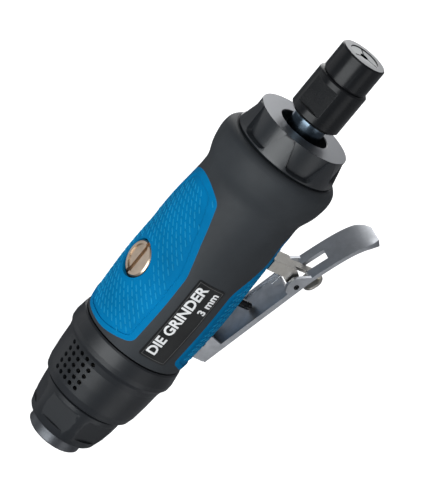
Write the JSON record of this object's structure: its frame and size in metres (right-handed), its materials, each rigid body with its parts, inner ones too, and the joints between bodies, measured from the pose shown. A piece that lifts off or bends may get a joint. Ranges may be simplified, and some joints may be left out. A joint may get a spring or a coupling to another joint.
{
  "type": "pneumatic die grinder",
  "caption": "Straight air die grinder with a rubber-covered handle, a latched throttle lever, a turning exhaust sleeve and a collet nose.",
  "frame": {"origin": "centre of the air inlet's face, on the tool axis", "axes": "+X along the tool axis from the air inlet to the collet; the throttle lever is on the -Z side and the valve's slotted plug on the +Z side"},
  "size_m": [0.172, 0.044, 0.0755],
  "materials": {
    "blackened_steel": "black oxide, satin",
    "bushing_steel": "dark nickel, satin",
    "bright_steel": "machined",
    "polished_steel": "ground and polished",
    "lever_steel": "zinc plated, tumbled",
    "latch_steel": "zinc plated, warm tint",
    "anodised_aluminium": "dark anodised",
    "cast_aluminium": "machined casting",
    "dark_plastic": "dark grey composite, fine grain",
    "black_enamel": "black semi-gloss coating",
    "black_rubber": "matt overmould",
    "blue_rubber": "blue overmould, diamond texture",
    "label_black": "satin film with a pale border",
    "brass": "turned",
    "seal_rubber": "smooth",
    "felt": "pressed felt",
    "vane_composite": "laminated phenolic",
    "cage_plastic": "moulded nylon"
  },
  "bodies": {
    "housing": {"inlet_bushing": "bushing_steel", "inlet_o_ring": "seal_rubber", "inlet_screen": "bright_steel", "inlet_collar": "dark_plastic", "thrust_washer": "blackened_steel", "sleeve_o_ring_rear": "seal_rubber", "sleeve_o_ring_front": "seal_rubber", "muffler_felt": "felt", "motor_housing": "anodised_aluminium", "grip_cover": "black_rubber", "plug_side_pad": "blue_rubber", "lever_side_pad": "blue_rubber", "nameplate": "label_black", "front_cap": "black_enamel", "cap_o_ring": "seal_rubber", "dust_washer": "felt", "rear_plate": "cast_aluminium", "front_plate": "cast_aluminium", "motor_cylinder": "bright_steel", "motor_dowel": "bright_steel", "valve_seat": "brass", "stem_bushing": "brass", "stem_o_ring": "seal_rubber", "valve_spring": "bright_steel", "valve_plug": "brass", "lever_pin": "blackened_steel", "rear_bearing_outer_race": "polished_steel", "front_bearing_outer_race": "polished_steel"},
    "spindle": {"spindle": "polished_steel", "rotor": "bright_steel", "vane_1": "vane_composite", "vane_2": "vane_composite", "vane_3": "vane_composite", "vane_4": "vane_composite", "collet": "polished_steel", "front_bearing_inner_race": "polished_steel", "rear_bearing_inner_race": "polished_steel"},
    "collet_nut": {"collet_nut": "blackened_steel"},
    "front_cage": {"front_bearing_cage": "cage_plastic", "front_bearing_balls": "polished_steel"},
    "rear_cage": {"rear_bearing_cage": "cage_plastic", "rear_bearing_balls": "polished_steel"},
    "exhaust_sleeve": {"exhaust_sleeve": "dark_plastic"},
    "lever": {"throttle_lever": "lever_steel", "latch_pin": "blackened_steel", "latch_spring": "bright_steel"},
    "latch": {"safety_latch": "latch_steel"},
    "valve_lift": {"valve_stem": "blackened_steel", "valve_ball": "polished_steel"}
  },
  "joints": [
    {"name": "spindle_spin", "type": "hinge", "parent": "housing", "child": "spindle", "pos_m": [0.15, 0, 0], "axis": [1, 0, 0], "continuous": true},
    {"name": "front_cage_spin", "type": "hinge", "parent": "housing", "child": "front_cage", "pos_m": [0.1187, 0, 0], "axis": [1, 0, 0], "continuous": true},
    {"name": "rear_cage_spin", "type": "hinge", "parent": "housing", "child": "rear_cage", "pos_m": [0.085, 0, 0], "axis": [1, 0, 0], "continuous": true},
    {"name": "collet_nut_turn", "type": "hinge", "parent": "spindle", "child": "collet_nut", "pos_m": [0.155, 0, 0], "axis": [1, 0, 0], "continuous": true},
    {"name": "sleeve_turn", "type": "hinge", "parent": "housing", "child": "exhaust_sleeve", "pos_m": [0.03, 0, 0], "axis": [1, 0, 0], "continuous": true},
    {"name": "lever_swing", "type": "hinge", "parent": "housing", "child": "lever", "pos_m": [0.0565, 0, -0.0203], "axis": [0, -1, 0], "range_deg": [0, 9], "stiffness_Nm_per_rad": 4, "springref_deg": -8.59},
    {"name": "latch_swing", "type": "hinge", "parent": "lever", "child": "latch", "pos_m": [0.09, 0, -0.0362], "axis": [0, 1, 0], "range_deg": [0, 51]},
    {"name": "valve_slide", "type": "slide", "parent": "housing", "child": "valve_lift", "axis": [0, 0, 1], "range_m": [0, 0.00305], "deforming": ["valve_spring"]}
  ],
  "couplings": [
    {"joint": "front_cage_spin", "follows": "spindle_spin", "ratio": 0.3987},
    {"joint": "rear_cage_spin", "follows": "spindle_spin", "ratio": 0.3709},
    {"joint": "latch_swing", "follows": "lever_swing", "ratio": 5.5556},
    {"joint": "valve_slide", "follows": "lever_swing", "m_per_rad": 0.0188}
  ]
}
